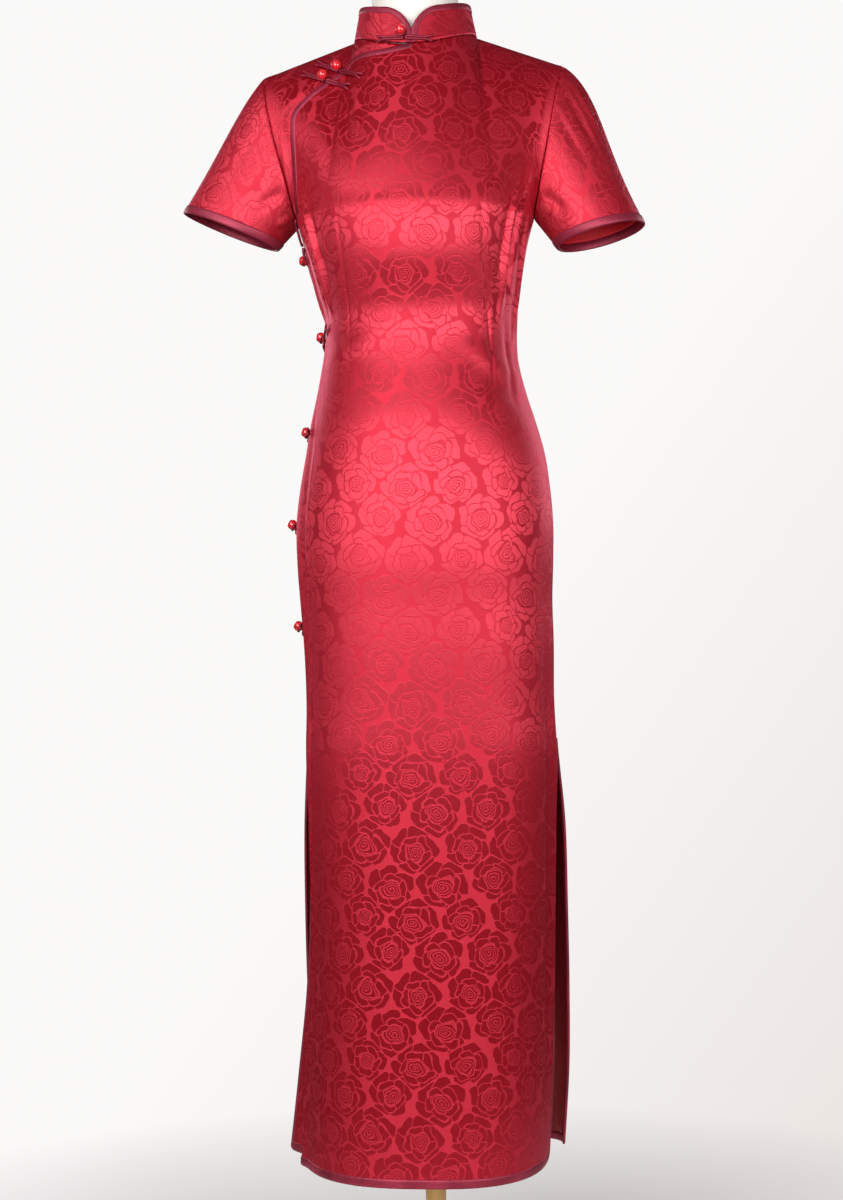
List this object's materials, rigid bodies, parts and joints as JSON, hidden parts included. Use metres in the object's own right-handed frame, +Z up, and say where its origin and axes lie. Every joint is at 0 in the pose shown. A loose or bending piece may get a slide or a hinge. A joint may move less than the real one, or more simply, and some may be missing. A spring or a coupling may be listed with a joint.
{
  "type": "cheongsam dress on dress form",
  "caption": "Long jacquard satin cheongsam with stand collar, slanted opening, short sleeves, side slits and bead frogs, worn by a limbless dress form on a round base.",
  "frame": {"origin": "centre of the round base's flat underside", "axes": "+Z up; the dress faces -Y; +X is on the viewer's right, the wearer's left"},
  "size_m": [0.5488, 0.34, 1.59],
  "materials": {
    "rose_jacquard_satin": "satin",
    "red_lining": "matte",
    "maroon_satin_binding": "satin",
    "red_glass_bead": "glossy",
    "form_cover": "matte",
    "honey_gold_metal": "satin"
  },
  "bodies": {
    "root": {"back": "rose_jacquard_satin", "binding_back_skirt": "maroon_satin_binding", "binding_front_skirt": "maroon_satin_binding", "binding_opening": "maroon_satin_binding", "binding_side": "maroon_satin_binding", "collar": "rose_jacquard_satin", "collar_binding": "maroon_satin_binding", "cuff_binding_left_arm": "maroon_satin_binding", "cuff_binding_right_arm": "maroon_satin_binding", "form_base": "honey_gold_metal", "form_body": "form_cover", "form_pole": "honey_gold_metal", "frog_chest_lower_bead": "red_glass_bead", "frog_chest_lower_knot": "maroon_satin_binding", "frog_chest_lower_loop": "maroon_satin_binding", "frog_chest_upper_bead": "red_glass_bead", "frog_chest_upper_knot": "maroon_satin_binding", "frog_chest_upper_loop": "maroon_satin_binding", "frog_collar_bead": "red_glass_bead", "frog_collar_knot": "maroon_satin_binding", "frog_collar_loop": "maroon_satin_binding", "frog_side_1_bead": "red_glass_bead", "frog_side_1_knot": "maroon_satin_binding", "frog_side_1_loop": "maroon_satin_binding", "frog_side_2_bead": "red_glass_bead", "frog_side_2_knot": "maroon_satin_binding", "frog_side_2_loop": "maroon_satin_binding", "frog_side_3_bead": "red_glass_bead", "frog_side_3_knot": "maroon_satin_binding", "frog_side_3_loop": "maroon_satin_binding", "frog_side_4_bead": "red_glass_bead", "frog_side_4_knot": "maroon_satin_binding", "frog_side_4_loop": "maroon_satin_binding", "frog_side_5_bead": "red_glass_bead", "frog_side_5_knot": "maroon_satin_binding", "frog_side_5_loop": "maroon_satin_binding", "front": "rose_jacquard_satin", "skirt_lining_back": "red_lining", "skirt_lining_front": "red_lining", "sleeve_left_arm": "rose_jacquard_satin", "sleeve_lining_left_arm": "red_lining", "sleeve_lining_right_arm": "red_lining", "sleeve_right_arm": "rose_jacquard_satin", "underlap": "rose_jacquard_satin"}
  },
  "joints": []
}
